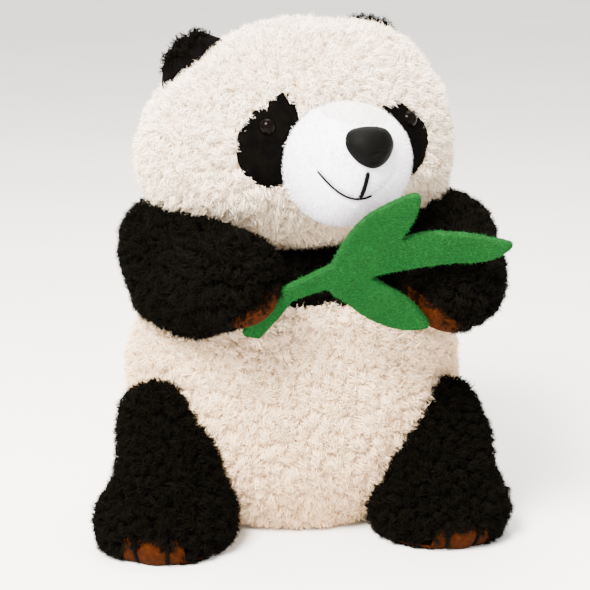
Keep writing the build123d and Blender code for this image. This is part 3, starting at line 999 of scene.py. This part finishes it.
def make_legs():
    for side in "rl":
        foot_x = LEGS[side][0]
        foot_at = (foot_x, FOOT_Y, FOOT_Z)
        foot, faces = egg_shape(foot_at, FOOT, -0.5)
        foot[:, 2] = np.maximum(foot[:, 2], 0.8)
        shin, shin_faces = roll_shape(*hip_roll(side))
        shin[:, 2] = np.maximum(shin[:, 2], 0.8)
        leg = form(f"leg_cushion_{side}", (foot, faces), (shin, shin_faces))
        co = coordinates(leg.data)
        inflate(leg, co[:, 2] < 5, 2.0)
        subdivide(leg, 2)
        swell(leg, LEG_FULL[side])

        toes = math.radians(TOE_TURN[side])
        groove = math.asin(TOE_GAP / FOOT[0])

        def toe_angle(out):
            """Plan angle away from the middle of the toes."""
            return np.abs((np.arctan2(out[:, 0], -out[:, 1]) - toes + math.pi) % (2 * math.pi) - math.pi)

        def toe_edge(points):
            """Height that the suede sole reaches up the foot's side: three rounded toes, a low edge beside."""
            angle = toe_angle(points[:, :2] - np.array(foot_at[:2]))
            dip = TOE_DIP * np.exp(-(((angle - groove) / 0.09) ** 2))
            return TOE_LOW + (TOE_HIGH - dip) * np.clip((TOE_SPAN - angle) / TOE_FADE, 0, 1)

        def covered(points):
            edge = toe_edge(points)
            low = (points[:, 2] < edge + np.where(edge > 3, 1.6, 0.0)) | (points[:, 2] < 1.2)
            return ~(low | inside_egg(points, TORSO_AT, TORSO, spare=8))

        areas = [(f"leg_{side}", everywhere, MAT["black_pile"], [f"leg_cover_{side}"], "black_sherpa")]
        fleece(leg, covered, areas, f"leg_{side}")
        paint(leg, MAT["black_back"])
        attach(leg, f"leg_{side}")
        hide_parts(f"leg_cover_{side}", f"leg_stuffing_{side}")

        def side_at(direction, z):
            """Point of the foot's side at a height, in a plan direction."""
            up = (z - FOOT_Z) / np.where(z > FOOT_Z, FOOT[2], FOOT[3])
            reach = np.sqrt(np.maximum(1 - up**2, 0.05))
            reach -= 0.045 * np.exp(-(((toe_angle(direction) - groove) / 0.1) ** 2))
            x, y = foot_x + direction[:, 0] * FOOT[0] * reach, FOOT_Y + direction[:, 1] * FOOT[1] * reach
            return np.stack([x, y, z], 1)

        def on_sole(points):
            """Flat under the foot, then up its side: points are (plan direction) x (0 to 1)."""
            far = np.linalg.norm(points, axis=1)
            direction = points / np.maximum(far, 1e-9)[:, None]
            top = toe_edge(np.array(foot_at) + np.concatenate([direction, np.zeros((len(points), 1))], 1)) + 1.2
            rise = np.clip((far - SOLE_FLAT) / (1 - SOLE_FLAT), 0, 1)
            place = side_at(direction, rise * top + 0.4)
            flat = np.clip(far / SOLE_FLAT, 0, 1)[:, None]
            place[:, :2] = np.array(foot_at[:2]) + (place[:, :2] - np.array(foot_at[:2])) * flat
            way = np.concatenate([direction * rise[:, None], -(1 - rise)[:, None] * 0.15], 1)
            return place, unit(way + 1e-9) * rise[:, None]

        a = np.linspace(0, 2 * math.pi, 96, endpoint=False)
        ring = np.stack([np.cos(a), np.sin(a)], 1)
        sole = pad_mesh(f"sole_suede_{side}", ring, on_sole, 0.0, rings=26, edge=1.6, under=1.0)
        swell(sole, LEG_FULL[side])
        paint(sole, MAT["suede"])
        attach(sole, f"leg_{side}")
        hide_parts(f"sole_{side}")
        for place, spread in (("in", -groove), ("out", groove)):
            angle = toes + (spread if side == "l" else -spread)
            direction = np.array([[math.sin(angle), -math.cos(angle)]])
            route = np.concatenate([side_at(direction, np.array([z])) for z in (0.9, 3.0, 6.0, 9.0, 12.0)])
            route[:, :2] += direction * (2.0 + fullness(route, LEG_FULL[side]))[:, None]
            yarn = twisted_thread(f"toe_yarn_{place}_{side}", route, 0.9, up=(1, 0, 0))
            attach(yarn, f"leg_{side}")
            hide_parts(f"toe_thread_{place}_{side}")


def make_neck():
    """Short pile collar on the neck ball, seen only when the head turns or nods."""
    low, high = (np.array(corner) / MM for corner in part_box("neck_stuffing"))
    middle, radius = (low + high) / 2, (high - low)[2] / 2
    neck = form("neck_cushion", egg_shape(middle, (radius,) * 4, -1.0))
    subdivide(neck, 1)
    areas = [("neck", everywhere, MAT["black_pile"], ["neck_stuffing"], "black_sherpa")]
    between = lambda points: (points[:, 2] < 142) & (points[:, 2] > 128)
    fleece(neck, between, areas, "neck", length=3.0)
    paint(neck, MAT["black_back"])
    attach(neck, "neck")
    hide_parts("neck_stuffing")


def make_sprig():
    """Felt sprig: the CAD outline with softened cut edges, the leaves curled and gently waved, and stray
    fibres.
    """
    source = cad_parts["bamboo_sprig"]
    sprig = bpy.data.objects.new("sprig_felt", source.data.copy())
    bpy.context.scene.collection.objects.link(sprig)
    remesh = sprig.modifiers.new("even", "REMESH")
    remesh.mode = "VOXEL"
    remesh.voxel_size = 0.0008
    apply_modifiers(sprig)
    soften = sprig.modifiers.new("soft", "SMOOTH")
    soften.factor = 0.5
    soften.iterations = 4
    apply_modifiers(sprig)
    co = coordinates(sprig.data)
    out = co - np.array(SPRIG_AT)
    far = np.linalg.norm(out, axis=1)
    leaves = (out[:, 0] > 6) | (out[:, 2] > 8)
    curl = np.where(leaves, np.clip((far - 26) / 54, 0, 1) ** 2 * 4.5, 0.0)
    wave = 0.35 * np.sin(co[:, 0] / 4.3) * np.cos(co[:, 2] / 5.1)
    set_coordinates(sprig.data, co + np.array(SPRIG_FACE) * (curl + wave)[:, None])
    sprig.data.shade_smooth()
    paint(sprig, MAT["felt"])
    short_pile("sprig", sprig.data, everywhere, 0.75, 1.6, MAT["felt_fibre"],
               "sprig", ["bamboo_sprig"])
    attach(sprig, "sprig")
    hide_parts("bamboo_sprig")


def make_inside():
    for name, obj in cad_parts.items():
        if "stuffing" in name and name != "neck_stuffing":
            paint(obj, MAT["filling"])
    paint(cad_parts["pellet_bag"], MAT["filling"])
    paint(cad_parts["pellets"], MAT["pellets"])


stage()
make_torso()
make_head()
make_face()
make_ears()
make_arms()
make_legs()
make_neck()
make_sprig()
make_inside()
